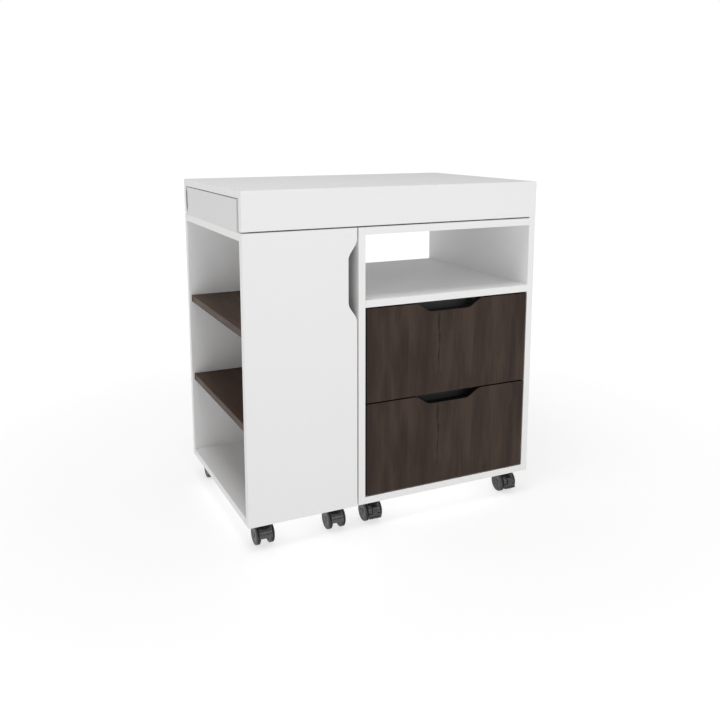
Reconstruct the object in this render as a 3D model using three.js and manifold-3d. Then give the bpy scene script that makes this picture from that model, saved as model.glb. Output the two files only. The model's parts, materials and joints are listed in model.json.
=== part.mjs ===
// Extendable rolling desk cabinet: a fixed drawer pedestal on four casters carries a hollow worktop shell,
// and an open shelf tower on four more casters slides out to the left with a second worktop inside the shell.
// Millimetres. +X runs right along the front, +Y to the back, +Z up; z = 0 is the underside of the boards
// until the whole group is lifted onto its casters and centred at the end.
import * as THREE from "three";
import { mergeVertices } from "three/addons/utils/BufferGeometryUtils.js";
import Module from "manifold-3d";

const wasm = await Module();
wasm.setup();

// Overall size
const BOARD = 16;
const WIDTH = 705;
const DEPTH = 454;
const BODY_HEIGHT = 700;
const CASTER_HEIGHT = 58;

// Worktop shell
const CARCASS_TOP = 616;
const SHELL_GAP = 3;
const APRON_BOTTOM = CARCASS_TOP + SHELL_GAP;
const SHELL_CEILING = BODY_HEIGHT - BOARD;

// Drawer pedestal
const CABINET_X = 253;
const CABINET_IN_LEFT = CABINET_X + BOARD;
const CABINET_IN_RIGHT = WIDTH - BOARD;
const NICHE_FLOOR = 460;
const DRAWER_CEILING = NICHE_FLOOR - BOARD;
const BACK_THICKNESS = 6;
const BACK_INSET = 2;

// Drawers
const FRONT_GAP = 3;
const DRAWER_SIDE = 12;
const DRAWER_DEPTH = 400;
const DRAWER_BOX_HEIGHT = 150;
const DRAWER_BOX_LIFT = 20;
const DRAWER_BOTTOM = 4;
const GROOVE_DEPTH = 6;
const GROOVE_LIFT = 8;
const DRAWER_BACK_LIFT = GROOVE_LIFT + DRAWER_BOTTOM;

// Finger grips cut into the drawer fronts and the tower front
const GRIP_LENGTH = 178;
const GRIP_FLAT = 90;
const GRIP_DEPTH = 20;
const GRIP_STEPS = 20;
const TOWER_GRIP_Z = 504;

// Black cups behind the drawer grips
const PULL_LENGTH = 156;
const PULL_DEPTH = 26;
const PULL_BELOW = 34;
const PULL_WALL = 2;
const PULL_CORNER = 14;
const PULL_CORNER_STEPS = 6;
const PULL_MOUTH_INSET = 6;
const PULL_TOP_GAP = 3;

// Telescopic slides
const SLIDE_SPACE = 12.5;
const SLIDE_STEEL = 1.5;
const CHANNEL_HALF = 22.5;
const CHANNEL_DEPTH = 9;
const CHANNEL_LIP = 4.5;
const RUNNER_HALF = 14.5;
const RUNNER_DEPTH = 8.5;
const DRAWER_SLIDE_FRONT = 20;
const DRAWER_SLIDE_LENGTH = 400;
const DESK_SLIDE_Z = 651;
const REAR_CHANNEL_START = 1;
const FRONT_CHANNEL_START = 14;

// Sliding tower and its worktop
const TOWER_WIDTH = 249.5;
const PARTITION_X = 194;
const SHELF_INSET = 5;
const SHELF_UNDERSIDES = [200, 400];
const DESK_END_CLEARANCE = 3;
const DESK_TOP_GAP = 2;
const DESK_TOP = SHELL_CEILING - DESK_TOP_GAP;
const DESK_FRONT = BOARD + SLIDE_SPACE;
const DESK_REAR = DEPTH - DESK_FRONT;
const DESK_RIGHT = CABINET_IN_RIGHT - DESK_END_CLEARANCE;
const RUNNER_INSET = 6;
const RUNNER_RIGHT = DESK_RIGHT - RUNNER_INSET;

// Twin-wheel casters, in a frame at the swivel axis under the board, hood towards -Y
const CASTER_TRAIL = 12;
const WHEEL_R = 23;
const WHEEL_SEGMENTS = 28;
const WHEEL_Z = WHEEL_R * Math.cos(Math.PI / WHEEL_SEGMENTS) - CASTER_HEIGHT;
const WHEEL_INNER = 10.4;
const WHEEL_TREAD_END = 17;
const WHEEL_SHOULDER = 19;
const WHEEL_SHOULDER_R = 20.5;
const WHEEL_OUTER = 20.5;
const WHEEL_FACE_R = 13;
const WHEEL_CHAMFER = 1.2;
const AXLE_R = 4;
const BORE_R = 4.07;
const HOOD_R = 25.2;
const HOOD_IN_R = 23.9;
const HOOD_HALF = 14.8;
const WEB_R = 24.6;
const WEB_HALF = 9.6;
const HOOD_FRONT_DROP = 4;
const HOOD_BACK_TOP = 62;
const NECK_R = 9;
const NECK_DROP = 20;
const BOSS_R = 9;
const ROD_SEGMENTS = 24;
const HOOD_STEPS = 16;
const WHEEL_FRONT_Y = 38;
const WHEEL_REAR_Y = 422;
const TOWER_CASTER_X = [43, 209];
const CABINET_CASTER_X = [299.5, 666];

// Brake pedal of the two front cabinet casters: a narrow arm with a broad pad in front of the wheels.
// Angles are measured about the wheel axle from the forward horizontal.
const PEDAL_ARM_HALF = 3.2;
const PEDAL_PAD_HALF = 14.8;
const PEDAL_IN_R = 25.8;
const PEDAL_OUT_R = 28;
const PEDAL_TOE_R = 30;
const PEDAL_PIVOT_R = 24;
const PEDAL_PIVOT_ANGLE = 32;
const PEDAL_END_ANGLE = -20;
const PEDAL_TOE_ANGLE = -13;
const PEDAL_PAD_ANGLE = -6;
const PEDAL_BARREL_HALF = 6;
const PEDAL_BARREL_R = 2.4;
const PEDAL_RUNNING_GAP = 0.08;
const PEDAL_SIDE_GAP = 0.7;
const PEDAL_SLOT_BELOW = 10;
const PEDAL_SLOT_ABOVE = 8;
const PEDAL_SLOT_R = 29.2;
const PEDAL_SLOT_STEPS = 4;
const PEDAL_ARM_STEPS = 10;
const PEDAL_PAD_STEPS = 4;
const PEDAL_TOE_STEPS = 2;

// How far a cutting solid reaches past the face it cuts
const CUT_PAST = 1;

// Corners nearer than this are one corner
const WELD = 1e-4;

const paint = (color, roughness) => new THREE.MeshStandardMaterial({ color, roughness });
const white = () => paint("#e4e4e4", 0.5);
const walnut = () => paint("#3c322d", 0.5);
const brown = () => paint("#4b3a30", 0.5);
const black = () => paint("#232828", 0.4);
const steel = () => paint("#5c5f62", 0.35);
const plastic = () => paint("#464646", 0.4);

const desk = new THREE.Group();

function add(name, geometry, material) {
  const mesh = new THREE.Mesh(geometry, material);
  mesh.name = name;
  desk.add(mesh);
}

function box(x0, x1, y0, y1, z0, z1) {
  const g = new THREE.BoxGeometry(x1 - x0, y1 - y0, z1 - z0);
  return g.translate((x0 + x1) / 2, (y0 + y1) / 2, (z0 + z1) / 2);
}

function prism(points, length) {
  const shape = new THREE.Shape(points.map(([u, v]) => new THREE.Vector2(u, v)));
  return new THREE.ExtrudeGeometry(shape, { depth: length, bevelEnabled: false });
}

// A profile of (x, z) points swept along +Y from y0 to y1.
function alongY(points, y0, y1) {
  const flipped = points.map(([x, z]) => [x, -z]);
  return prism(flipped, y1 - y0).rotateX(-Math.PI / 2).translate(0, y0, 0);
}

// A profile of (y, z) points swept along +X from x0 to x1.
function alongX(points, x0, x1) {
  return prism(points, x1 - x0).rotateX(Math.PI / 2).rotateZ(Math.PI / 2).translate(x0, 0, 0);
}

function toSolid(geometry) {
  const bare = geometry.index ? geometry.toNonIndexed() : geometry.clone();
  bare.deleteAttribute("normal");
  bare.deleteAttribute("uv");
  const merged = mergeVertices(bare, WELD);
  return new wasm.Manifold(
    new wasm.Mesh({
      numProp: 3,
      vertProperties: merged.attributes.position.array,
      triVerts: new Uint32Array(merged.index.array),
    }),
  );
}

function fromSolid(solid) {
  const mesh = solid.getMesh();
  const g = new THREE.BufferGeometry();
  g.setAttribute("position", new THREE.BufferAttribute(mesh.vertProperties, mesh.numProp));
  g.setIndex(new THREE.BufferAttribute(mesh.triVerts, 1));
  return g;
}

// Half-lengths and depths of a grip from its flat bottom out to the board's edge, an S curve at each end.
function gripOutline() {
  const run = (GRIP_LENGTH - GRIP_FLAT) / 2;
  const points = [];
  for (let i = 0; i <= GRIP_STEPS; i++) {
    const t = i / GRIP_STEPS;
    points.push([GRIP_FLAT / 2 + run * t, (GRIP_DEPTH * (1 + Math.cos(Math.PI * t))) / 2]);
  }
  return points;
}

// Worktop shell: the top board is mitred into the aprons along its front and rear edges.
function shell() {
  const top = [
    [BOARD, SHELL_CEILING],
    [DEPTH - BOARD, SHELL_CEILING],
    [DEPTH, BODY_HEIGHT],
    [0, BODY_HEIGHT],
  ];
  add("top_panel", alongX(top, 0, WIDTH), white());
  const front = [
    [0, APRON_BOTTOM],
    [BOARD, APRON_BOTTOM],
    [BOARD, SHELL_CEILING],
    [0, BODY_HEIGHT],
  ];
  add("front_apron", alongX(front, 0, WIDTH), white());
  const rear = front.map(([y, z]) => [DEPTH - y, z]).reverse();
  add("rear_apron", alongX(rear, 0, WIDTH), white());
}

function pedestal() {
  const left = CABINET_IN_LEFT;
  const right = CABINET_IN_RIGHT;
  add("cabinet_left_side", box(CABINET_X, left, 0, DEPTH, 0, CARCASS_TOP), white());
  const side = [
    [0, 0],
    [DEPTH, 0],
    [DEPTH, APRON_BOTTOM],
    [DEPTH - BOARD, APRON_BOTTOM],
    [DEPTH - BOARD, SHELL_CEILING],
    [BOARD, SHELL_CEILING],
    [BOARD, APRON_BOTTOM],
    [0, APRON_BOTTOM],
  ];
  add("cabinet_right_side", alongX(side, right, WIDTH), white());
  add("cabinet_top", box(left, right, 0, DEPTH, CARCASS_TOP - BOARD, CARCASS_TOP), white());
  add("niche_shelf", box(left, right, 0, DEPTH, DRAWER_CEILING, NICHE_FLOOR), white());
  add("cabinet_bottom", box(left, right, 0, DEPTH, 0, BOARD), white());
  const backFace = DEPTH - BACK_INSET;
  const back = box(left, right, backFace - BACK_THICKNESS, backFace, BOARD, DRAWER_CEILING);
  add("cabinet_back", back, white());
}

// C channel profile: (depth from its board, height); the runner is a plainer U that rides inside it.
const channelProfile = [
  [0, -CHANNEL_HALF],
  [CHANNEL_DEPTH, -CHANNEL_HALF],
  [CHANNEL_DEPTH, -CHANNEL_HALF + CHANNEL_LIP],
  [CHANNEL_DEPTH - SLIDE_STEEL, -CHANNEL_HALF + CHANNEL_LIP],
  [CHANNEL_DEPTH - SLIDE_STEEL, -CHANNEL_HALF + SLIDE_STEEL],
  [SLIDE_STEEL, -CHANNEL_HALF + SLIDE_STEEL],
  [SLIDE_STEEL, CHANNEL_HALF - SLIDE_STEEL],
  [CHANNEL_DEPTH - SLIDE_STEEL, CHANNEL_HALF - SLIDE_STEEL],
  [CHANNEL_DEPTH - SLIDE_STEEL, CHANNEL_HALF - CHANNEL_LIP],
  [CHANNEL_DEPTH, CHANNEL_HALF - CHANNEL_LIP],
  [CHANNEL_DEPTH, CHANNEL_HALF],
  [0, CHANNEL_HALF],
];
const runnerProfile = [
  [0, -RUNNER_HALF],
  [RUNNER_DEPTH, -RUNNER_HALF],
  [RUNNER_DEPTH, -RUNNER_HALF + SLIDE_STEEL],
  [SLIDE_STEEL, -RUNNER_HALF + SLIDE_STEEL],
  [SLIDE_STEEL, RUNNER_HALF - SLIDE_STEEL],
  [RUNNER_DEPTH, RUNNER_HALF - SLIDE_STEEL],
  [RUNNER_DEPTH, RUNNER_HALF],
  [0, RUNNER_HALF],
];

// The profile set at (base, z), growing towards +1 or -1 along its first axis.
function placed(profile, base, z, sense) {
  const points = profile.map(([u, v]) => [base + sense * u, z + v]);
  return sense > 0 ? points : points.reverse();
}

function deskSlides() {
  const end = CABINET_IN_RIGHT;
  const rear = placed(channelProfile, DEPTH - BOARD, DESK_SLIDE_Z, -1);
  add("desk_slide_channel_rear", alongX(rear, REAR_CHANNEL_START, end), steel());
  const front = placed(channelProfile, BOARD, DESK_SLIDE_Z, 1);
  add("desk_slide_channel_front", alongX(front, FRONT_CHANNEL_START, end), steel());
  const rearRunner = placed(runnerProfile, DESK_REAR, DESK_SLIDE_Z, 1);
  add("desk_slide_runner_rear", alongX(rearRunner, BOARD, RUNNER_RIGHT), steel());
  const frontRunner = placed(runnerProfile, DESK_FRONT, DESK_SLIDE_Z, -1);
  add("desk_slide_runner_front", alongX(frontRunner, BOARD, RUNNER_RIGHT), steel());
}

// A drawer front: a board with the grip cut down into its top edge.
function drawerFront(x0, x1, z0, z1) {
  const middle = (x0 + x1) / 2;
  const outline = gripOutline();
  const points = [
    [x0, z0],
    [x1, z0],
    [x1, z1],
    ...outline.map(([along, depth]) => [middle + along, z1 - depth]).reverse(),
    ...outline.map(([along, depth]) => [middle - along, z1 - depth]),
    [x0, z1],
  ];
  return alongY(points, 0, BOARD);
}

// The cup: a box with two rounded lower corners behind the front, hollowed from above and from the grip.
function pullCup(middle, top) {
  const outlineOf = (inset) => {
    const half = PULL_LENGTH / 2 - inset;
    const low = top - PULL_BELOW + inset;
    const r = PULL_CORNER - inset;
    const points = [[half, top + inset]];
    for (let i = 0; i <= PULL_CORNER_STEPS; i++) {
      const a = (i / PULL_CORNER_STEPS) * (Math.PI / 2);
      points.push([half - r + r * Math.cos(a), low + r - r * Math.sin(a)]);
    }
    const mirrored = points.map(([x, z]) => [-x, z]).reverse();
    return [...points, ...mirrored].reverse().map(([x, z]) => [x + middle, z]);
  };
  const outer = toSolid(alongY(outlineOf(0), BOARD, BOARD + PULL_DEPTH));
  const hollow = alongY(outlineOf(PULL_WALL), BOARD + PULL_WALL, BOARD + PULL_DEPTH - PULL_WALL);
  const reach = PULL_LENGTH / 2 - PULL_MOUTH_INSET;
  const near = BOARD - CUT_PAST;
  const far = BOARD + PULL_WALL + CUT_PAST;
  const lip = top - GRIP_DEPTH - CUT_PAST;
  const mouth = box(middle - reach, middle + reach, near, far, lip, top + CUT_PAST);
  return fromSolid(outer.subtract(toSolid(hollow)).subtract(toSolid(mouth)));
}

function drawer(name, z0, z1) {
  const x0 = CABINET_IN_LEFT + FRONT_GAP;
  const x1 = CABINET_IN_RIGHT - FRONT_GAP;
  const left = CABINET_IN_LEFT + SLIDE_SPACE;
  const right = CABINET_IN_RIGHT - SLIDE_SPACE;
  const low = z0 + DRAWER_BOX_LIFT;
  const high = low + DRAWER_BOX_HEIGHT;
  const near = BOARD;
  const far = BOARD + DRAWER_DEPTH;
  add(name + "_front", drawerFront(x0, x1, z0, z1), walnut());

  const inside = DRAWER_SIDE - GROOVE_DEPTH;
  const grooved = [
    [0, low],
    [DRAWER_SIDE, low],
    [DRAWER_SIDE, low + GROOVE_LIFT],
    [inside, low + GROOVE_LIFT],
    [inside, low + DRAWER_BACK_LIFT],
    [DRAWER_SIDE, low + DRAWER_BACK_LIFT],
    [DRAWER_SIDE, high],
    [0, high],
  ];
  const leftSide = grooved.map(([x, z]) => [left + x, z]);
  const rightSide = grooved.map(([x, z]) => [right - x, z]).reverse();
  add(name + "_left_side", alongY(leftSide, near, far), white());
  add(name + "_right_side", alongY(rightSide, near, far), white());
  const backLow = low + DRAWER_BACK_LIFT;
  const innerLeft = left + DRAWER_SIDE;
  const innerRight = right - DRAWER_SIDE;
  add(name + "_back", box(innerLeft, innerRight, far - DRAWER_SIDE, far, backLow, high), white());
  const floorLow = low + GROOVE_LIFT;
  const floor = box(left + inside, right - inside, near, far, floorLow, floorLow + DRAWER_BOTTOM);
  add(name + "_bottom", floor, white());
  add(name + "_pull", pullCup((x0 + x1) / 2, z1 - PULL_TOP_GAP), black());

  const slideZ = (low + high) / 2;
  const slideEnd = DRAWER_SLIDE_FRONT + DRAWER_SLIDE_LENGTH;
  const leftChannel = placed(channelProfile, CABINET_IN_LEFT, slideZ, 1);
  const rightChannel = placed(channelProfile, CABINET_IN_RIGHT, slideZ, -1);
  add(name + "_channel_left", alongY(leftChannel, DRAWER_SLIDE_FRONT, slideEnd), steel());
  add(name + "_channel_right", alongY(rightChannel, DRAWER_SLIDE_FRONT, slideEnd), steel());
}

function tower() {
  const outline = gripOutline();
  const above = outline.map(([along, depth]) => [TOWER_WIDTH - depth, TOWER_GRIP_Z + along]);
  const below = outline.map(([along, depth]) => [TOWER_WIDTH - depth, TOWER_GRIP_Z - along]);
  const front = [
    [0, 0],
    [TOWER_WIDTH, 0],
    ...below.reverse(),
    ...above,
    [TOWER_WIDTH, CARCASS_TOP],
    [0, CARCASS_TOP],
  ];
  add("tower_front", alongY(front, 0, BOARD), white());
  add("tower_rear", box(0, TOWER_WIDTH, DEPTH - BOARD, DEPTH, 0, CARCASS_TOP), white());

  const near = BOARD;
  const far = DEPTH - BOARD;
  const ceiling = CARCASS_TOP - BOARD;
  add("tower_bottom", box(0, TOWER_WIDTH, near, far, 0, BOARD), white());
  add("tower_top", box(0, TOWER_WIDTH, near, far, ceiling, CARCASS_TOP), white());
  add("tower_partition", box(PARTITION_X, PARTITION_X + BOARD, near, far, BOARD, ceiling), white());
  SHELF_UNDERSIDES.forEach((z, i) => {
    const name = ["tower_lower_shelf", "tower_upper_shelf"][i];
    add(name, box(SHELF_INSET, PARTITION_X, near, far, z, z + BOARD), brown());
  });
}

// The second worktop: a board on two rails behind an end panel, resting on the tower's top.
function slidingWorktop() {
  const underside = DESK_TOP - BOARD;
  add("desk_end_panel", box(0, BOARD, DESK_FRONT, DESK_REAR, CARCASS_TOP, DESK_TOP), white());
  add("desk_top", box(BOARD, DESK_RIGHT, DESK_FRONT, DESK_REAR, underside, DESK_TOP), white());
  const rail = [
    [BOARD, CARCASS_TOP],
    [TOWER_WIDTH, CARCASS_TOP],
    [TOWER_WIDTH, APRON_BOTTOM],
    [DESK_RIGHT, APRON_BOTTOM],
    [DESK_RIGHT, underside],
    [BOARD, underside],
  ];
  add("desk_front_rail", alongY(rail, DESK_FRONT, DESK_FRONT + BOARD), white());
  add("desk_rear_rail", alongY(rail, DESK_REAR - BOARD, DESK_REAR), white());
}

// Two wheels and the axle that joins them, turned about X and standing on a facet.
function wheelset() {
  const half = [
    [0, -WHEEL_OUTER],
    [WHEEL_FACE_R, -WHEEL_OUTER],
    [WHEEL_SHOULDER_R, -WHEEL_SHOULDER],
    [WHEEL_R, -WHEEL_TREAD_END],
    [WHEEL_R, -WHEEL_INNER - WHEEL_CHAMFER],
    [WHEEL_R - WHEEL_CHAMFER, -WHEEL_INNER],
    [AXLE_R, -WHEEL_INNER],
  ];
  const profile = [...half, ...half.map(([r, x]) => [r, -x]).reverse()];
  const points = profile.map(([r, x]) => new THREE.Vector2(r, x));
  const g = new THREE.LatheGeometry(points, WHEEL_SEGMENTS, Math.PI / WHEEL_SEGMENTS);
  return g.rotateZ(-Math.PI / 2).translate(0, CASTER_TRAIL, WHEEL_Z);
}

// A ring sector about the wheel axle; angles in degrees from the forward horizontal, positive upwards.
function sector(inner, outer, from, to, steps) {
  const points = [];
  for (let i = 0; i <= steps; i++) {
    const a = THREE.MathUtils.degToRad(from + ((to - from) * i) / steps);
    points.push([-outer * Math.cos(a), outer * Math.sin(a)]);
  }
  if (inner === 0) return [...points, [0, 0]].reverse();
  for (let i = steps; i >= 0; i--) {
    const a = THREE.MathUtils.degToRad(from + ((to - from) * i) / steps);
    points.push([-inner * Math.cos(a), inner * Math.sin(a)]);
  }
  return points.reverse();
}

// (y, z) points about the axle moved into the caster's own frame.
const aboutAxle = (points) => points.map(([y, z]) => [CASTER_TRAIL + y, WHEEL_Z + z]);

function rod(radius, length) {
  return new THREE.CylinderGeometry(radius, radius, length, ROD_SEGMENTS).rotateZ(Math.PI / 2);
}

function pedalPivot() {
  const a = THREE.MathUtils.degToRad(PEDAL_PIVOT_ANGLE);
  return [CASTER_TRAIL - PEDAL_PIVOT_R * Math.cos(a), WHEEL_Z + PEDAL_PIVOT_R * Math.sin(a)];
}

// Hood over both wheels, the web between them with the axle boss, and the swivel neck; a braked caster's
// hood has a pocket for the pedal's barrel.
function hood(braked) {
  const from = -HOOD_FRONT_DROP;
  const to = 180 - HOOD_BACK_TOP;
  const shellRing = aboutAxle(sector(HOOD_IN_R, HOOD_R, from, to, HOOD_STEPS));
  const fender = toSolid(alongX(shellRing, -HOOD_HALF, HOOD_HALF));
  const disc = aboutAxle(sector(0, WEB_R, from, to, HOOD_STEPS));
  const web = toSolid(alongX(disc, -WEB_HALF, WEB_HALF));
  const boss = toSolid(rod(BOSS_R, 2 * WEB_HALF).translate(0, CASTER_TRAIL, WHEEL_Z));
  const bore = toSolid(rod(BORE_R, 2 * HOOD_R).translate(0, CASTER_TRAIL, WHEEL_Z));
  const post = new THREE.CylinderGeometry(NECK_R, NECK_R, NECK_DROP, ROD_SEGMENTS).rotateX(Math.PI / 2);
  const neck = toSolid(post.translate(0, 0, -NECK_DROP / 2));
  const whole = fender.add(web).add(boss).add(neck).subtract(bore);
  if (!braked) return fromSolid(whole);
  const width = 2 * (PEDAL_BARREL_HALF + PEDAL_SIDE_GAP);
  const [y, z] = pedalPivot();
  const pocket = toSolid(rod(PEDAL_BARREL_R + PEDAL_RUNNING_GAP, width).translate(0, y, z));
  const below = PEDAL_PIVOT_ANGLE - PEDAL_SLOT_BELOW;
  const above = PEDAL_PIVOT_ANGLE + PEDAL_SLOT_ABOVE;
  const mouth = aboutAxle(sector(PEDAL_PIVOT_R, PEDAL_SLOT_R, below, above, PEDAL_SLOT_STEPS));
  const slot = toSolid(alongX(mouth, -width / 2, width / 2));
  return fromSolid(whole.subtract(pocket).subtract(slot));
}

// A narrow curved arm hanging in front of the hood from a barrel, with a broad pad and toe at its foot.
function brakePedal() {
  const [y, z] = pedalPivot();
  const band = (outer, to, half, steps) => {
    const points = aboutAxle(sector(PEDAL_IN_R, outer, PEDAL_END_ANGLE, to, steps));
    return toSolid(alongX(points, -half, half));
  };
  const arm = band(PEDAL_OUT_R, PEDAL_PIVOT_ANGLE, PEDAL_ARM_HALF, PEDAL_ARM_STEPS);
  const pad = band(PEDAL_OUT_R, PEDAL_PAD_ANGLE, PEDAL_PAD_HALF, PEDAL_PAD_STEPS);
  const foot = band(PEDAL_TOE_R, PEDAL_TOE_ANGLE, PEDAL_PAD_HALF, PEDAL_TOE_STEPS);
  const barrel = toSolid(rod(PEDAL_BARREL_R, 2 * PEDAL_BARREL_HALF).translate(0, y, z));
  return fromSolid(arm.add(pad).add(foot).add(barrel));
}

function casters() {
  const wheelGeometry = wheelset();
  const plainHood = hood(false);
  const brakedHood = hood(true);
  const pedalGeometry = brakePedal();
  const rows = [
    ["front", WHEEL_FRONT_Y],
    ["rear", WHEEL_REAR_Y],
  ];
  const modules = [
    ["tower", TOWER_CASTER_X],
    ["cabinet", CABINET_CASTER_X],
  ];
  for (const [module, positions] of modules) {
    for (const [row, wheelY] of rows) {
      positions.forEach((x, i) => {
        const name = `${module}_caster_${row}_${["left", "right"][i]}`;
        const y = wheelY - CASTER_TRAIL;
        const braked = module === "cabinet" && row === "front";
        const cover = braked ? brakedHood : plainHood;
        add(name + "_hood", cover.clone().translate(x, y, 0), plastic());
        add(name + "_wheels", wheelGeometry.clone().translate(x, y, 0), plastic());
        if (braked) add(name + "_brake", pedalGeometry.clone().translate(x, y, 0), plastic());
      });
    }
  }
}

shell();
pedestal();
const drawerSpace = DRAWER_CEILING - BOARD - 3 * FRONT_GAP;
const frontHeight = drawerSpace / 2;
const lowerZ = BOARD + FRONT_GAP;
const upperZ = lowerZ + frontHeight + FRONT_GAP;
drawer("lower_drawer", lowerZ, lowerZ + frontHeight);
drawer("upper_drawer", upperZ, upperZ + frontHeight);
deskSlides();
tower();
slidingWorktop();
casters();

desk.position.set(-WIDTH / 2, -DEPTH / 2, CASTER_HEIGHT);

export default desk;
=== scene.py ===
"""Looks of the extendable rolling desk cabinet: boards, drawers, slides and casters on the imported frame."""
import json
import math

import bmesh
import bpy
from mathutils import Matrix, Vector

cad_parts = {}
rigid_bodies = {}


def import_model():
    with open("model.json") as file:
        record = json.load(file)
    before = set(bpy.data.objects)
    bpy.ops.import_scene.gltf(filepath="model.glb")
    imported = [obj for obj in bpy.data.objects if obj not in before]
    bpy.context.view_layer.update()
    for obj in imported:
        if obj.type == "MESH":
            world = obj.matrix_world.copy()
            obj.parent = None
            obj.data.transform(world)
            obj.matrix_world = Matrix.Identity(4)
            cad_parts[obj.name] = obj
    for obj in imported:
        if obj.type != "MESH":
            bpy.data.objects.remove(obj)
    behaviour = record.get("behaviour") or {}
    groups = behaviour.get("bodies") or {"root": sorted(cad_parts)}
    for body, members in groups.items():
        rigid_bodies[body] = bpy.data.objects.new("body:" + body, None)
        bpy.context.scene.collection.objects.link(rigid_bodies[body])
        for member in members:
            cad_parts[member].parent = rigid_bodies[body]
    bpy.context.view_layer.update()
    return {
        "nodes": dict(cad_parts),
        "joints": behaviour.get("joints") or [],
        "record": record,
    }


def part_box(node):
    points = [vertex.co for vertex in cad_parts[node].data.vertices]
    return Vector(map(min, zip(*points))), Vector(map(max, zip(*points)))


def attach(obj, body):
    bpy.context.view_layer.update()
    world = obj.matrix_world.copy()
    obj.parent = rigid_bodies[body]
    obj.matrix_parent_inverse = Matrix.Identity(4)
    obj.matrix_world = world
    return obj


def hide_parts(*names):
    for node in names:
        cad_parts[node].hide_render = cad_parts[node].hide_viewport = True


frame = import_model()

MM = 0.001
NODES = frame["nodes"]
JOINTS = {joint["name"]: joint for joint in frame["joints"]}

# Camera, placed from the floor under the object's middle
CAMERA_PLACE = (-0.8255, -1.754, 0.871)
CAMERA_YAW = 25.52
CAMERA_PITCH = 9.86
CAMERA_LENS = 40.92
CAMERA_SENSOR = 36.0
CAMERA_SHIFT_Y = -0.12

# Studio
FLOOR_SIZE = 40.0
FLOOR_COLOUR = 0.42
FLOOR_GLOW = 0.66
FLOOR_FAR_GLOW = 0.86
FLOOR_NEAR = 0.5
FLOOR_FAR = 2.2
FLOOR_ROUGHNESS = 0.9
SKY_GLOW = 0.385
LIGHT_AIM = (0.0, 0.0, 0.35)
SOFT_BOX = ("soft_box", (-1.35, -2.3, 1.15), (1.3, 1.3), 3.5)
TOP_LIGHT = ("top_light", (-0.6, -0.6, 3.2), (1.5, 1.5), 33.0)
BAND_LIGHT = ("band_light", (0.6, -2.1, 0.80), (2.6, 0.16), 4.5)

# Mesh detail
LATHE_STEPS = 56
WHEEL_STEPS = 72
PLATE_STEPS = 48
ROD_STEPS = 24
SCREW_STEPS = 20
NAIL_STEPS = 16
BALL_STEPS = 12
BALL_RINGS = 7
PEDAL_STEPS = 14
SHARP_ANGLE = math.radians(38)
CAD_SHARP_ANGLE = math.radians(40)
ROUNDING_STEPS = 2
WELD = 0.01 * MM

# Decors; a grain layer is its scale, detail, stretch along the board and share of the tone
DUST_SCALE = 7.0
WHITE_LEVEL = 0.90
# The end panel's white is set darker than the other boards: painted shade for its left-facing side.
END_PANEL_SHADED_LEVEL = 0.80
WHITE_ROUGHNESS = (0.42, 0.56)
BAND_ROUGHNESS = 0.8
BAND_SHADE = 0.1
BAND_DARK = 0.3
PEARL_SCALE = 900.0
WALNUT_DARK = (0.0285, 0.0165, 0.0113, 1.0)
WALNUT_LIGHT = (0.060, 0.0378, 0.0272, 1.0)
WALNUT_GLOW = (0.072, 0.055, 0.034, 1.0)
WALNUT_EDGE = (0.009, 0.007, 0.006, 1.0)
WALNUT_TONE = (0.38, 0.66)
WALNUT_ROUGHNESS = (0.5, 0.62)
WALNUT_GRAIN = ((26.0, 1.0, 0.16, 0.45), (70.0, 2.0, 0.12, 0.3), (420.0, 3.0, 0.03, 0.25))
BROWN_DARK = (0.047, 0.0235, 0.0135, 1.0)
BROWN_LIGHT = (0.079, 0.043, 0.027, 1.0)
BROWN_TONE = (0.35, 0.65)
BROWN_ROUGHNESS = (0.46, 0.58)
BROWN_GRAIN = ((34.0, 2.0, 0.06, 0.7), (500.0, 2.0, 0.03, 0.3))
BROWN_BAND_SHADE = 0.6
GRAIN_BUMP = 0.12
DARK_LINE = (0.012, 0.007, 0.005, 1.0)

# Crack in the walnut, from the middle of a drawer front
CRACK_SIDE = 0.0195
CRACK_WANDER = 0.014
CRACK_WANDER_SCALE = 26.0
CRACK_UP = 0.012
CRACK_REACH = 0.08
CRACK_FADE = 0.06
CRACK_WIDTH = 0.0032
CRACK_OPENING = (0.4 * CRACK_WIDTH, 1.6 * CRACK_WIDTH)
CRACK_OPENING_SCALE = 48.0
CRACK_CORE = 0.25
CRACK_STRENGTH = 0.8
GLOW_WIDTH = 7 * CRACK_WIDTH
GLOW_STRENGTH = 0.35

# Casters, measured about the wheel axle
HOOD_OUT = 25.2 * MM
HOOD_SKIN = 1.4 * MM
HOOD_HALF = 14.8 * MM
HOOD_CROWN = 0.9 * MM
HOOD_FROM = -4
HOOD_TO = 118
HOOD_STEPS = 30
HOOD_COLUMNS = (-1.0, -0.95, -0.8, -0.45, -0.22, 0.0, 0.22, 0.45, 0.8, 0.95, 1.0)
HOOD_ROUND = 0.35 * MM
SLOT_FROM = 20
SLOT_TO = 42
SLOT_COLUMNS = range(3, 7)
WEB_OUT = 24.3 * MM
WEB_HALF = 9.6 * MM
WEB_NOTCH_OUT = 20.8 * MM
BOSS_OUT = 9 * MM
PEDAL_ARM_HALF = 5.6 * MM
PEDAL_PAD_HALF = 14.8 * MM
PEDAL_BARREL_HALF = 6 * MM
PEDAL_IN = 25.8 * MM
PEDAL_OUT = 28 * MM
PEDAL_TOE = 29.6 * MM
PEDAL_LOW = -20
PEDAL_TOE_TOP = -13
PEDAL_PAD_TOP = 2
PEDAL_TOP = 32
PEDAL_BARREL = 2.4 * MM
PEDAL_RIBS = (-11.5, -8.5)
PEDAL_RIB_SPREAD = 0.8
PEDAL_RIB_OUT = 28.5 * MM
PEDAL_RIB_HALF = 11 * MM
PEDAL_ROUND = 0.4 * MM
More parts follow.
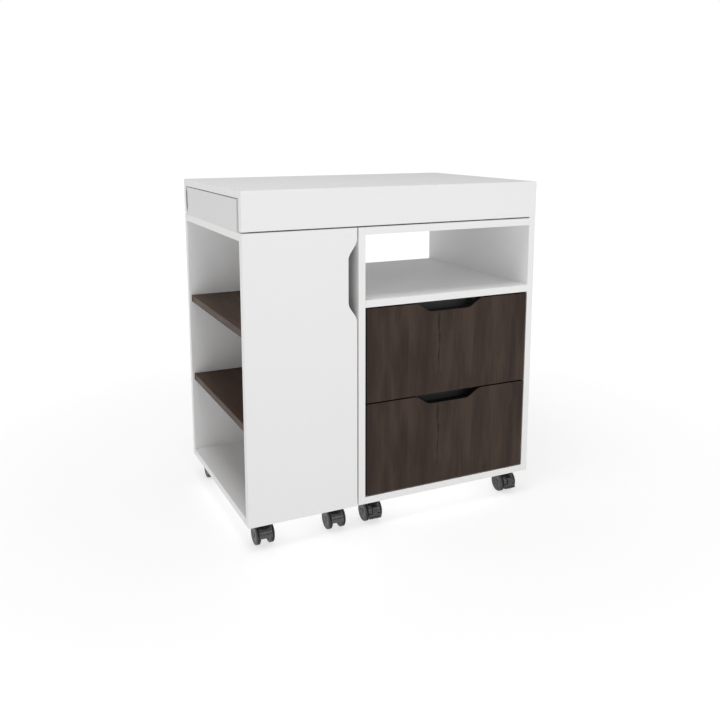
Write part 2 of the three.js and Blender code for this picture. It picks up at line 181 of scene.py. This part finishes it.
WHEEL_FACE = ((0.6, 20.4), (5.2, 20.4), (6.0, 19.8), (6.0, 19.2), (7.2, 19.2), (7.5, 19.9), (8.2, 20.1))
WHEEL_FACE += ((16.4, 20.3), (16.9, 19.8), (17.6, 19.8), (18.1, 20.3), (20.6, 20.2), (21.9, 19.7))
WHEEL_FACE += ((22.6, 18.9), (22.8, 17.8), (22.5, 17.1), (18.2, 16.8), (17.7, 15.9), (18.0, 15.0))
WHEEL_FACE += ((22.5, 14.7),)
WHEEL_CROWN = ((0.0, 14.3), (0.0, 12.9), (0.12, 12.7), (0.0, 12.5), (0.0, 12.0))
WHEEL_INNER = ((22.4, 11.3), (21.2, 10.6), (18.0, 10.5), (17.6, 11.6), (8.0, 11.6), (7.0, 10.5), (4.0, 10.5))
BEARING = ((7.5, -20), (7.5, -9.8), (12.5, -9.6), (12.5, -8.4), (10.6, -7.6), (10.6, -5), (11.4, -4.6))
BEARING += ((11.4, -2.8), (9, -2.5), (9, -0.05))
PLATE_HALF = 19 * MM
PLATE_THICK = 2 * MM
PLATE_HOLE = 9.5 * MM
PLATE_SQUARENESS = 9
PLATE_SCREW = 14 * MM
PLATE_ROUND = 0.3 * MM
SCREW_HEAD = ((3.2, 0.0), (3.2, 0.7), (2.5, 1.4), (1.4, 1.6), (1.2, 0.9), (0.3, 0.9))

# Slides
SLIDE_STEEL = 1.5 * MM
RUNNER_HALF = 14.5 * MM
RUNNER_DEPTH = 8.5 * MM
RUNNER_LENGTH = 396 * MM
GROOVE_DEPTH = 1.2 * MM
GROOVE_HALF = 2.0 * MM
RUNNER_SETBACK = 2 * MM
RUNNER_ROUND = 0.25 * MM
CAGE_START = 6 * MM
CAGE_LENGTH = 80 * MM
CAGE_THICK = 0.8 * MM
CAGE_GAP = 0.4 * MM
CAGE_TOP = 17.4 * MM
BALL = 2.6 * MM
BALL_GAP = 0.2 * MM
BALL_START = 14 * MM
BALLS = 5
BALL_SPACING = (CAGE_LENGTH - 16 * MM) / (BALLS - 1)
SCREW_SHARES = (0.12, 0.5, 0.88)

# Board finish
EDGE_ROUND = 0.5 * MM
SHELL_ROUND = 0.25 * MM
BAND_WIDTH = 0.8 * MM
BAND_LINE = 0.16 * MM
STEEL_ROUND = 0.3 * MM
SHELL_BOARDS = ("top_panel", "front_apron", "rear_apron")
FACE_MASK = 0.5
FAR_AWAY = 10.0
NAIL_INSET = 9 * MM
NAIL_SHARES = (0.0, 0.25, 0.5, 0.75, 1.0)
NAIL_HEAD = ((2.2, 0.0), (2.2, 0.25), (1.4, 0.5), (0.2, 0.6))


class Shader:
    """A node material written as short calls."""

    def __init__(self, name):
        self.material = bpy.data.materials.new(name)
        self.material.use_nodes = True
        self.tree = self.material.node_tree
        self.surface = self.tree.nodes["Principled BSDF"]
        coords = self.node("ShaderNodeTexCoord")
        self.place = coords.outputs["Object"]
        self.normal = coords.outputs["Normal"]

    def feed(self, socket, value):
        if isinstance(value, bpy.types.NodeSocket):
            self.tree.links.new(value, socket)
        else:
            socket.default_value = value

    def node(self, kind, inputs=(), **settings):
        made = self.tree.nodes.new(kind)
        for key, value in settings.items():
            setattr(made, key, value)
        for key, value in dict(inputs).items():
            self.feed(made.inputs[key], value)
        return made

    def math(self, operation, *values, clamp=False):
        made = self.node("ShaderNodeMath", operation=operation, use_clamp=clamp)
        for socket, value in zip(made.inputs, values):
            self.feed(socket, value)
        return made.outputs[0]

    def vector(self, operation, *values):
        made = self.node("ShaderNodeVectorMath", operation=operation)
        for socket, value in zip(made.inputs, values):
            self.feed(socket, value)
        return made.outputs[0]

    def split(self, vector):
        return self.node("ShaderNodeSeparateXYZ", {"Vector": vector}).outputs

    def noise(self, vector, scale, detail=2.0, roughness=0.5, distortion=0.0):
        inputs = {
            "Vector": vector,
            "Scale": scale,
            "Detail": detail,
            "Roughness": roughness,
            "Distortion": distortion,
        }
        return self.node("ShaderNodeTexNoise", inputs).outputs["Fac"]

    def ramp(self, value, low, high, to_low=0.0, to_high=1.0):
        inputs = {
            "Value": value,
            "From Min": low,
            "From Max": high,
            "To Min": to_low,
            "To Max": to_high,
        }
        made = self.node("ShaderNodeMapRange", inputs, interpolation_type="SMOOTHSTEP")
        return made.outputs["Result"]

    def blend(self, factor, first, second):
        made = self.node("ShaderNodeMix", data_type="RGBA")
        self.feed(made.inputs[0], factor)
        self.feed(made.inputs[6], first)
        self.feed(made.inputs[7], second)
        return made.outputs[2]

    def bump(self, height, strength, distance):
        inputs = {"Height": height, "Strength": strength, "Distance": distance}
        made = self.node("ShaderNodeBump", inputs)
        self.feed(self.surface.inputs["Normal"], made.outputs["Normal"])

    def finish(self, colour, roughness, **plain):
        self.feed(self.surface.inputs["Base Color"], colour)
        self.feed(self.surface.inputs["Roughness"], roughness)
        for key, value in plain.items():
            self.surface.inputs[key.replace("_", " ")].default_value = value
        return self.material


def grey(level, warmth=0.0):
    return (level * (1 + warmth), level, level * (1 - warmth), 1.0)


def round_edges(target, width, angle):
    bevel = target.modifiers.new("round", "BEVEL")
    bevel.width = width
    bevel.segments = ROUNDING_STEPS
    bevel.limit_method = "ANGLE"
    bevel.angle_limit = angle
    bevel.harden_normals = True


def dust(shader):
    """Slow unevenness over a surface, 0 to 1."""
    return shader.noise(shader.place, DUST_SCALE, detail=3.0)


def band_line(shader, low, high, thin):
    """1 on the joint between a board's face and its glued edge band, 0 elsewhere."""
    centre = (low + high) / 2
    half = (high - low) / 2
    half[thin] = FAR_AWAY
    offset = shader.vector("ABSOLUTE", shader.vector("SUBTRACT", shader.place, tuple(centre)))
    room = shader.split(shader.vector("SUBTRACT", tuple(half), offset))
    nearest = shader.math("MINIMUM", shader.math("MINIMUM", room[0], room[1]), room[2])
    away = shader.math("ABSOLUTE", shader.math("SUBTRACT", nearest, BAND_WIDTH))
    line = shader.ramp(away, 0.0, BAND_LINE, 1.0, 0.0)
    facing = shader.math("ABSOLUTE", shader.split(shader.normal)[thin])
    on_face = shader.math("GREATER_THAN", facing, FACE_MASK)
    return shader.math("MULTIPLY", line, on_face), on_face


def corners(node):
    low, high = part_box(node)
    return Vector(low), Vector(high)


def thin_axis(low, high):
    size = high - low
    return min(range(3), key=lambda axis: size[axis])


def melamine(node, level):
    """White melamine board: pearl grain, faint unevenness and the fine joint of its edge band."""
    low, high = corners(node)
    shader = Shader("melamine_" + node)
    line, on_face = band_line(shader, low, high, thin_axis(low, high))
    pearl = shader.noise(shader.place, PEARL_SCALE, detail=2.0)
    plain = shader.blend(dust(shader), grey(level * 0.985, 0.004), grey(level, -0.002))
    colour = shader.blend(on_face, grey(level * 0.99, 0.006), plain)
    colour = shader.blend(shader.math("MULTIPLY", line, BAND_SHADE), colour, grey(level * BAND_DARK))
    rough_face = shader.ramp(pearl, 0.3, 0.7, *WHITE_ROUGHNESS)
    rough = shader.math("MULTIPLY", rough_face, shader.ramp(on_face, 0.0, 1.0, BAND_ROUGHNESS, 1.0))
    shader.bump(pearl, 0.08, 0.2 * MM)
    return shader.finish(colour, rough, Specular_IOR_Level=0.4)


def wood_grain(shader, place, layers, along):
    """Soft streaks along one axis: the sum of their layers, and the last and finest layer."""
    tone = 0.0
    for scale, detail, stretch, share in layers:
        squeeze = [1.0, 1.0, 1.0]
        squeeze[along] = stretch
        squeezed = shader.vector("MULTIPLY", place, tuple(squeeze))
        layer = shader.noise(squeezed, scale, detail=detail, roughness=0.55, distortion=0.25)
        tone = shader.math("MULTIPLY_ADD", layer, share, tone)
    return tone, layer


def crack(shader, place, colour):
    """One narrow wandering crack left of the middle, in a slightly paler strip."""
    across, _, up = shader.split(place)
    sway = shader.noise(place, CRACK_WANDER_SCALE, detail=3.0)
    wander = shader.math("MULTIPLY_ADD", sway, CRACK_WANDER, CRACK_SIDE)
    away = shader.math("ABSOLUTE", shader.math("ADD", across, wander))
    rise = shader.math("ABSOLUTE", shader.math("SUBTRACT", up, CRACK_UP))
    reach = shader.ramp(rise, CRACK_FADE, CRACK_REACH, 1.0, 0.0)
    glow = shader.math("MULTIPLY", shader.ramp(away, CRACK_WIDTH, GLOW_WIDTH, 1.0, 0.0), reach)
    colour = shader.blend(shader.math("MULTIPLY", glow, GLOW_STRENGTH), colour, WALNUT_GLOW)
    width = shader.noise(place, CRACK_OPENING_SCALE, detail=1.0)
    share = shader.math("DIVIDE", away, shader.ramp(width, 0.35, 0.65, *CRACK_OPENING))
    narrow = shader.math("MULTIPLY", shader.ramp(share, CRACK_CORE, 1.0, 1.0, 0.0), reach)
    return shader.blend(shader.math("MULTIPLY", narrow, CRACK_STRENGTH), colour, DARK_LINE)


def walnut(node):
    """Dark walnut decor: soft upright bands over fine fibre, a crack, and a black edge band."""
    low, high = corners(node)
    shader = Shader("walnut_" + node)
    local = shader.vector("SUBTRACT", shader.place, tuple((low + high) / 2))
    tone, fibre = wood_grain(shader, local, WALNUT_GRAIN, 2)
    colour = shader.blend(shader.ramp(tone, *WALNUT_TONE), WALNUT_DARK, WALNUT_LIGHT)
    colour = crack(shader, local, colour)
    facing = shader.math("ABSOLUTE", shader.split(shader.normal)[1])
    colour = shader.blend(shader.math("GREATER_THAN", facing, FACE_MASK), WALNUT_EDGE, colour)
    shader.bump(fibre, GRAIN_BUMP, 0.25 * MM)
    return shader.finish(colour, shader.ramp(fibre, 0.3, 0.7, *WALNUT_ROUGHNESS), Specular_IOR_Level=0.2)


def brown_decor(node):
    """Plain dark brown decor of the tower's shelves, with faint grain along the board."""
    low, high = corners(node)
    shader = Shader("decor_" + node)
    local = shader.vector("SUBTRACT", shader.place, tuple(low))
    tone, fine = wood_grain(shader, local, BROWN_GRAIN, 1)
    line, on_face = band_line(shader, low, high, thin_axis(low, high))
    colour = shader.blend(shader.ramp(tone, *BROWN_TONE), BROWN_DARK, BROWN_LIGHT)
    colour = shader.blend(shader.math("MULTIPLY", line, BROWN_BAND_SHADE), colour, DARK_LINE)
    shader.bump(fine, GRAIN_BUMP, 0.2 * MM)
    rough_grain = shader.ramp(fine, 0.3, 0.7, *BROWN_ROUGHNESS)
    rough = shader.math("ADD", rough_grain, shader.math("MULTIPLY", on_face, 0.04))
    return shader.finish(colour, rough, Specular_IOR_Level=0.22)


def pressed_steel(name, level):
    """Zinc-plated strip steel: cloudy plating and fine rolling lines."""
    shader = Shader(name)
    cloud = shader.noise(shader.place, 60.0, detail=4.0, roughness=0.6)
    lines = shader.vector("MULTIPLY", shader.place, (0.03, 0.03, 1.0))
    rolled = shader.noise(lines, 1600.0, detail=1.0)
    colour = shader.blend(cloud, grey(level * 0.8, -0.02), grey(level * 1.2, 0.01))
    rough_cloud = shader.ramp(cloud, 0.3, 0.7, 0.24, 0.38)
    rough = shader.math("ADD", rough_cloud, shader.math("MULTIPLY", rolled, 0.08))
    shader.bump(rolled, 0.1, 0.05 * MM)
    return shader.finish(colour, rough, Metallic=0.9)


def moulded(name, level, rough, texture, specular, cool=0.0):
    """Moulded plastic: spark-eroded grain with slow flow marks."""
    shader = Shader(name)
    grain = shader.noise(shader.place, texture, detail=2.0)
    flow = shader.noise(shader.vector("MULTIPLY", shader.place, (1.0, 0.6, 1.6)), 45.0, detail=3.0)
    colour = shader.blend(flow, grey(level * 0.88, cool), grey(level * 1.12, cool))
    slow = shader.ramp(flow, 0.3, 0.7, rough - 0.05, rough)
    roughness = shader.math("ADD", slow, shader.math("MULTIPLY", grain, 0.1))
    shader.bump(grain, 0.2, 0.08 * MM)
    return shader.finish(colour, roughness, Specular_IOR_Level=specular)


class Shape:
    """Closed bodies gathered into one mesh, in metres."""

    def __init__(self):
        self.points = []
        self.faces = []

    def add(self, points, faces):
        start = len(self.points)
        self.points.extend(points)
        self.faces.extend(tuple(start + i for i in face) for face in faces)

    def sweep(self, rings, closed=False):
        """Skins rings of equally many points, and caps the two ends unless the last ring meets the first."""
        count = len(rings[0])
        total = len(rings)
        faces = []
        for i in range(total if closed else total - 1):
            here = i * count
            there = (i + 1) % total * count
            for j in range(count):
                k = (j + 1) % count
                faces.append((here + j, here + k, there + k, there + j))
        if not closed:
            faces.append(tuple(reversed(range(count))))
            faces.append(tuple(range((total - 1) * count, total * count)))
        self.add([point for ring in rings for point in ring], faces)

    def prism(self, outline, near, far, put):
        """An outline of (u, v) points swept from near to far; put(u, v, w) places a point."""
        self.sweep([[put(u, v, w) for u, v in outline] for w in (near, far)])

    def lathe(self, profile, put, steps=LATHE_STEPS, closed=False):
        """A profile of (radius, along) points turned about its axis; put(u, v, along) places a point."""
        turns = [2 * math.pi * i / steps for i in range(steps)]
        rings = []
        for radius, along in profile:
            rings.append([put(radius * math.cos(a), radius * math.sin(a), along) for a in turns])
        self.sweep(rings, closed)

    def sheet(self, outer, inner, cells):
        """A curved sheet with thickness, made of the grid squares (i, j) in cells."""
        index = {}
        points = []
        faces = []
        rim = set()

        def corner(side, i, j):
            key = (side is outer, i, j)
            if key not in index:
                index[key] = len(points)
                points.append(side(i, j))
            return index[key]

        for i, j in cells:
            ring = [(i, j), (i + 1, j), (i + 1, j + 1), (i, j + 1)]
            faces.append([corner(outer, *at) for at in ring])
            faces.append([corner(inner, *at) for at in reversed(ring)])
            for a, b in zip(ring, ring[1:] + ring[:1]):
                if (b, a) in rim:
                    rim.remove((b, a))
                else:
                    rim.add((a, b))
        for a, b in sorted(rim):
            faces.append([corner(outer, *a), corner(outer, *b), corner(inner, *b), corner(inner, *a)])
        self.add(points, faces)

    def piece(self, name, body, material, rounding=0.0):
        mesh = bpy.data.meshes.new(name)
        mesh.from_pydata(self.points, [], self.faces)
        work = bmesh.new()
        work.from_mesh(mesh)
        bmesh.ops.recalc_face_normals(work, faces=work.faces)
        work.to_mesh(mesh)
        work.free()
        mesh.shade_smooth()
        mesh.set_sharp_from_angle(angle=SHARP_ANGLE)
        mesh.materials.append(material)
        made = bpy.data.objects.new(name, mesh)
        bpy.context.scene.collection.objects.link(made)
        if rounding:
            round_edges(made, rounding, SHARP_ANGLE)
        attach(made, body)
        return made


def soften(node, width):
    """Welds the loaded faces into one skin and rounds its sharp edges."""
    weld = node.modifiers.new("weld", "WELD")
    weld.merge_threshold = WELD
    round_edges(node, width, CAD_SHARP_ANGLE)


def paint(node, material):
    node.data.materials.clear()
    node.data.materials.append(material)


def camera():
    data = bpy.data.cameras.new("camera")
    data.lens = CAMERA_LENS
    data.sensor_width = CAMERA_SENSOR
    data.shift_y = CAMERA_SHIFT_Y
    made = bpy.data.objects.new("camera", data)
    made.location = CAMERA_PLACE
    made.rotation_euler = (math.radians(90 - CAMERA_PITCH), 0, math.radians(-CAMERA_YAW))
    bpy.context.scene.collection.objects.link(made)
    bpy.context.scene.camera = made


def floor():
    half = FLOOR_SIZE / 2
    mesh = bpy.data.meshes.new("floor")
    points = [(-half, -half, 0), (half, -half, 0), (half, half, 0), (-half, half, 0)]
    mesh.from_pydata(points, [], [(0, 1, 2, 3)])
    made = bpy.data.objects.new("floor", mesh)
    bpy.context.scene.collection.objects.link(made)
    shader = Shader("floor")
    shade = shader.blend(dust(shader), grey(FLOOR_COLOUR * 0.99), grey(FLOOR_COLOUR))
    mesh.materials.append(shader.finish(shade, FLOOR_ROUGHNESS))
    away = shader.node("ShaderNodeVectorMath", {0: shader.place}, operation="LENGTH").outputs["Value"]
    glow = shader.ramp(away, FLOOR_NEAR, FLOOR_FAR, FLOOR_GLOW, FLOOR_FAR_GLOW)
    shader.surface.inputs["Emission Color"].default_value = grey(1.0)
    shader.feed(shader.surface.inputs["Emission Strength"], glow)


def world():
    made = bpy.data.worlds.new("studio")
    made.use_nodes = True
    bpy.context.scene.world = made
    tree = made.node_tree
    nodes = tree.nodes
    light = nodes["Background"]
    light.inputs["Strength"].default_value = SKY_GLOW
    light.inputs["Color"].default_value = grey(1.0)
    white = nodes.new("ShaderNodeBackground")
    white.inputs["Color"].default_value = grey(1.0)
    path = nodes.new("ShaderNodeLightPath")
    choose = nodes.new("ShaderNodeMixShader")
    tree.links.new(path.outputs["Is Camera Ray"], choose.inputs[0])
    tree.links.new(light.outputs[0], choose.inputs[1])
    tree.links.new(white.outputs[0], choose.inputs[2])
    tree.links.new(choose.outputs[0], nodes["World Output"].inputs["Surface"])


def lamp(name, place, size, power):
    data = bpy.data.lights.new(name, "AREA")
    data.shape = "ELLIPSE"
    data.size, data.size_y = size
    data.energy = power
    made = bpy.data.objects.new(name, data)
    made.location = place
    aim = Vector(LIGHT_AIM) - Vector(place)
    made.rotation_euler = aim.to_track_quat("-Z", "Y").to_euler()
    bpy.context.scene.collection.objects.link(made)


def white_board(node):
    rounding = SHELL_ROUND if node in SHELL_BOARDS else EDGE_ROUND
    # the darker white on the end panel is painted shade for its left-facing side
    level = END_PANEL_SHADED_LEVEL if node == "desk_end_panel" else WHITE_LEVEL
    return rounding, melamine(node, level)


def kept_nodes():
    """Rounds and paints every CAD node that keeps its own shape."""
    for part in frame["record"]["subparts"]:
        name = part["node"]
        slot = part["material_slot"]
        if slot == "white_board":
            rounding, material = white_board(name)
        elif slot == "walnut_board":
            rounding, material = EDGE_ROUND, walnut(name)
        elif slot == "brown_board":
            rounding, material = EDGE_ROUND, brown_decor(name)
        elif slot == "slide_steel":
            rounding, material = STEEL_ROUND, STEEL
        elif name.endswith("_pull"):
            rounding, material = EDGE_ROUND, PULL
        else:
            continue
        soften(NODES[name], rounding)
        paint(NODES[name], material)


def about_axle(axle):
    """Places (radius, degrees, across) about a wheel axle; 0 degrees is forwards and 90 is up."""

    def put(radius, degrees, across):
        a = math.radians(degrees)
        return axle + Vector((across, -radius * math.cos(a), radius * math.sin(a)))

    return put


def hood(name, axle, braked):
    """Crowned cover over both wheels, slotted for a pedal, with the web and axle boss between them."""
    shape = Shape()
    polar = about_axle(axle)
    step = (HOOD_TO - HOOD_FROM) / HOOD_STEPS

    def skin(depth):
        def at(i, j):
            share = HOOD_COLUMNS[j]
            radius = HOOD_OUT - depth - HOOD_CROWN * share**4
            return polar(radius, HOOD_FROM + step * i, HOOD_HALF * share)

        return at

    slot_rows = range(round((SLOT_FROM - HOOD_FROM) / step), round((SLOT_TO - HOOD_FROM) / step))
    cells = []
    for i in range(HOOD_STEPS):
        for j in range(len(HOOD_COLUMNS) - 1):
            in_slot = braked and i in slot_rows and j in SLOT_COLUMNS
            if not in_slot:
                cells.append((i, j))
    shape.sheet(skin(0.0), skin(HOOD_SKIN), cells)

    outline = [(0.0, 0.0)]
    for i in range(HOOD_STEPS + 1):
        degrees = HOOD_FROM + step * i
        notched = braked and SLOT_FROM < degrees < SLOT_TO
        outline.append((WEB_NOTCH_OUT if notched else WEB_OUT, degrees))
    shape.prism(outline, -WEB_HALF, WEB_HALF, polar)
    shape.lathe([(BOSS_OUT, -WEB_HALF), (BOSS_OUT, WEB_HALF)], lambda u, v, w: axle + Vector((w, u, v)))

    made = shape.piece(name + "_hood_shell", name, NYLON, HOOD_ROUND)
    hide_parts(name + "_hood")


def swivel_bearing(name, swivel, ceiling):
    """Neck and raceway between a hood and its plate, near black: painted shade for the shadow under the
    board.
    """
    centre = Vector((swivel.x, swivel.y, ceiling))
    profile = [(r * MM, z * MM) for r, z in BEARING]
    shape = Shape()
    shape.lathe(profile, lambda u, v, w: centre + Vector((u, v, w)))
    shape.piece(name + "_bearing", name, RACEWAY_PAINTED_SHADE)


def wheels(name, axle):
    """Two wheels on their axle: hub cap, dished face, outer rim, a groove beside the hood, and the tread."""
    side = [(r * MM, x * MM) for r, x in WHEEL_FACE]
    side += [(axle.z - drop * MM, x * MM) for drop, x in WHEEL_CROWN]
    side += [(r * MM, x * MM) for r, x in WHEEL_INNER]
    profile = side + [(r, -x) for r, x in reversed(side)]
    shape = Shape()
    shape.lathe(profile, lambda u, v, w: axle + Vector((w, u, v)), steps=WHEEL_STEPS)
    made = shape.piece(name + "_twin_wheels", name + "_wheelset", TYRE)
    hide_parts(name + "_wheels")


def pedal(name, axle):
    """Brake pedal in front of the hood: a barrel, a curved arm, and a broad ribbed pad at its foot."""
    polar = about_axle(axle)
    shape = Shape()

    def band(low, high, out, half):
        degrees = [low + (high - low) * i / PEDAL_STEPS for i in range(PEDAL_STEPS + 1)]
        outline = [(PEDAL_IN, angle) for angle in degrees] + [(out, angle) for angle in reversed(degrees)]
        shape.prism(outline, -half, half, polar)

    band(PEDAL_LOW, PEDAL_TOP, PEDAL_OUT, PEDAL_ARM_HALF)
    band(PEDAL_LOW, PEDAL_PAD_TOP, PEDAL_OUT, PEDAL_PAD_HALF)
    band(PEDAL_LOW, PEDAL_TOE_TOP, PEDAL_TOE, PEDAL_PAD_HALF)
    for degrees in PEDAL_RIBS:
        band(degrees - PEDAL_RIB_SPREAD, degrees + PEDAL_RIB_SPREAD, PEDAL_RIB_OUT, PEDAL_RIB_HALF)
    pivot = Vector(JOINTS[name + "_brake_release"]["pos_m"])
    barrel = [(PEDAL_BARREL, -PEDAL_BARREL_HALF), (PEDAL_BARREL, PEDAL_BARREL_HALF)]
    shape.lathe(barrel, lambda u, v, w: pivot + Vector((w, u, v)), steps=ROD_STEPS)
    made = shape.piece(name + "_brake_tab", name + "_pedal", PEDAL, PEDAL_ROUND)
    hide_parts(name + "_brake")


def screw(shape, at, put):
    """A pan head standing on the point at; put(u, v, w) turns its own axes, w along the head's axis."""
    profile = [(r * MM, w * MM) for r, w in SCREW_HEAD]
    shape.lathe(profile, lambda u, v, w: at + put(u, v, w), steps=SCREW_STEPS)


def caster_plate(name, module, swivel, ceiling):
    """Square plate with rounded corners, a round hole for the bearing, and four screws."""
    shape = Shape()
    centre = Vector((swivel.x, swivel.y, ceiling))

    def square(a):
        spread = abs(math.cos(a)) ** PLATE_SQUARENESS + abs(math.sin(a)) ** PLATE_SQUARENESS
        return PLATE_HALF / spread ** (1 / PLATE_SQUARENESS)

    def ring(radius, depth):
        turns = [2 * math.pi * i / PLATE_STEPS for i in range(PLATE_STEPS)]
        return [centre + Vector((radius(a) * math.cos(a), radius(a) * math.sin(a), -depth)) for a in turns]

    def hole(a):
        return PLATE_HOLE

    rings = [ring(square, 0.0), ring(square, PLATE_THICK), ring(hole, PLATE_THICK), ring(hole, 0.0)]
    shape.sweep(rings, closed=True)
    for side in (-1, 1):
        for end in (-1, 1):
            at = centre + Vector((side * PLATE_SCREW, end * PLATE_SCREW, -PLATE_THICK))
            screw(shape, at, lambda u, v, w: Vector((u, v, -w)))
    shape.piece(name + "_plate", module, STEEL, PLATE_ROUND)


def casters():
    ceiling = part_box("tower_bottom")[0][2]
    for joint in frame["joints"]:
        if not joint["name"].endswith("_swivel"):
            continue
        name = joint["child"]
        module = joint["parent"]
        swivel = Vector(joint["pos_m"])
        axle = Vector(JOINTS[name + "_roll"]["pos_m"])
        braked = name + "_brake_release" in JOINTS
        hood(name, axle, braked)
        swivel_bearing(name, swivel, ceiling)
        wheels(name, axle)
        caster_plate(name, module, swivel, ceiling)
        if braked:
            pedal(name, axle)


def runner_outline():
    """C section of a slide's moving member, with a ball groove along its top and bottom: (depth, height)."""
    upper = [
        (0.0, RUNNER_HALF),
        (RUNNER_DEPTH / 2 - GROOVE_HALF, RUNNER_HALF),
        (RUNNER_DEPTH / 2, RUNNER_HALF - GROOVE_DEPTH),
        (RUNNER_DEPTH / 2 + GROOVE_HALF, RUNNER_HALF),
        (RUNNER_DEPTH, RUNNER_HALF),
        (RUNNER_DEPTH, RUNNER_HALF - 2 * SLIDE_STEEL),
        (SLIDE_STEEL, RUNNER_HALF - 2 * SLIDE_STEEL),
    ]
    lower = [(depth, -height) for depth, height in reversed(upper)]
    return upper + lower


def drawer_slides(drawer):
    """The drawer-side member and its ball cage on each side of a drawer."""
    for side, sense in (("left", -1), ("right", 1)):
        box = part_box(f"{drawer}_{side}_side")
        face = box[1][0] if sense > 0 else box[0][0]
        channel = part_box(f"{drawer}_channel_{side}")
        middle = (channel[0][2] + channel[1][2]) / 2
        near = channel[0][1] + RUNNER_SETBACK

        def put(depth, height, along):
            return Vector((face + sense * depth, near + along, middle + height))

        shape = Shape()
        shape.prism(runner_outline(), 0.0, RUNNER_LENGTH, put)
        shape.piece(f"{drawer}_runner_{side}", drawer, STEEL, RUNNER_ROUND)
        cage(f"{drawer}_cage_{side}", "cabinet", put)


def cage(name, body, put):
    """Two strips of balls above and below a runner."""
    shape = Shape()
    middle = RUNNER_DEPTH / 2
    turns = [math.pi * (k + 0.5) / BALL_RINGS for k in range(BALL_RINGS)]
    ball = [(BALL * math.sin(a), BALL * math.cos(a)) for a in turns]
    for sense in (-1, 1):
        low = sense * (RUNNER_HALF + CAGE_GAP)
        high = sense * CAGE_TOP
        strip = [(middle - CAGE_THICK, low), (middle + CAGE_THICK, low)]
        strip += [(middle + CAGE_THICK, high), (middle - CAGE_THICK, high)]
        shape.prism(strip, CAGE_START, CAGE_START + CAGE_LENGTH, put)
        height = sense * (RUNNER_HALF + BALL_GAP + BALL - GROOVE_DEPTH / 2)
        for i in range(BALLS):

            def on_ball(u, v, w, h=height, along=BALL_START + i * BALL_SPACING):
                return put(middle + u, h + v, along + w)

            shape.lathe(ball, on_ball, steps=BALL_STEPS)
    shape.piece(name, body, BRIGHT)


def faced_middle(long_axis):
    """Middle of the space the channels face into: the drawers' or the worktop shell's."""
    low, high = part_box("cabinet_bottom" if long_axis == 1 else "top_panel")
    deep_axis = 1 - long_axis
    return (low[deep_axis] + high[deep_axis]) / 2


def channel_screws():
    """Pan heads that hold the fixed channels to the cabinet's sides and aprons."""
    shape = Shape()
    for name in NODES:
        if "_channel_" not in name:
            continue
        low, high = corners(name)
        centre = (low + high) / 2
        long_axis = 0 if name.startswith("desk") else 1
        deep_axis = 1 - long_axis
        inward = -1 if centre[deep_axis] > faced_middle(long_axis) else 1
        wall = low[deep_axis] if inward > 0 else high[deep_axis]
        for share in SCREW_SHARES:
            at = centre.copy()
            at[deep_axis] = wall + inward * SLIDE_STEEL
            at[long_axis] = low[long_axis] + share * (high[long_axis] - low[long_axis])

            def put(u, v, w, deep=deep_axis, along=long_axis, sense=inward):
                turned = Vector((0.0, 0.0, v))
                turned[deep] = sense * w
                turned[along] = u
                return turned

            screw(shape, at, put)
    shape.piece("channel_screws", "cabinet", BRIGHT)


def back_nails():
    """Nail heads around the edge of the back panel."""
    low, high = corners("cabinet_back")
    shape = Shape()
    head = [(r * MM, w * MM) for r, w in NAIL_HEAD]
    middle = (low.z + high.z) / 2
    for share in NAIL_SHARES:
        x = low.x + NAIL_INSET + share * (high.x - low.x - 2 * NAIL_INSET)
        for z in (low.z + NAIL_INSET, middle, high.z - NAIL_INSET):
            if z == middle and 0 < share < 1:
                continue
            at = Vector((x, high.y, z))
            shape.lathe(head, lambda u, v, w, p=at: p + Vector((u, w, v)), steps=NAIL_STEPS)
    shape.piece("back_nails", "cabinet", BRIGHT)


def desk_cages():
    """Ball cages of the two long slides under the worktop."""
    for side, sense in (("front", -1), ("rear", 1)):
        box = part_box(f"desk_slide_runner_{side}")
        face = box[1][1] if sense < 0 else box[0][1]
        middle = (box[0][2] + box[1][2]) / 2
        start = box[0][0] + RUNNER_SETBACK

        def put(depth, height, along, f=face, s=sense, m=middle, x=start):
            return Vector((x + along, f + s * depth, m + height))

        cage(f"desk_cage_{side}", "cabinet", put)


STEEL = pressed_steel("plated_steel", 0.16)
BRIGHT = pressed_steel("bright_zinc", 0.45)
PULL = moulded("black_pull", level=0.050, rough=0.46, texture=2600.0, specular=0.35, cool=-0.03)
NYLON = moulded("hood_nylon", level=0.029, rough=0.22, texture=1500.0, specular=0.9)
# near-black bearing plastic: painted shade for the shadow between the hood and the board
RACEWAY_PAINTED_SHADE = moulded("swivel_raceway_painted_shade", level=0.008, rough=0.5, texture=900.0, specular=0.15)
TYRE = moulded("wheel_nylon", level=0.044, rough=0.34, texture=1200.0, specular=0.45)
PEDAL = moulded("pedal_nylon", level=0.050, rough=0.30, texture=1500.0, specular=0.5)

camera()
world()
lamp(*SOFT_BOX)
lamp(*TOP_LIGHT)
lamp(*BAND_LIGHT)
floor()
kept_nodes()
casters()
for drawer in ("lower_drawer", "upper_drawer"):
    drawer_slides(drawer)
desk_cages()
channel_screws()
back_nails()

bpy.context.scene.view_settings.view_transform = "Standard"
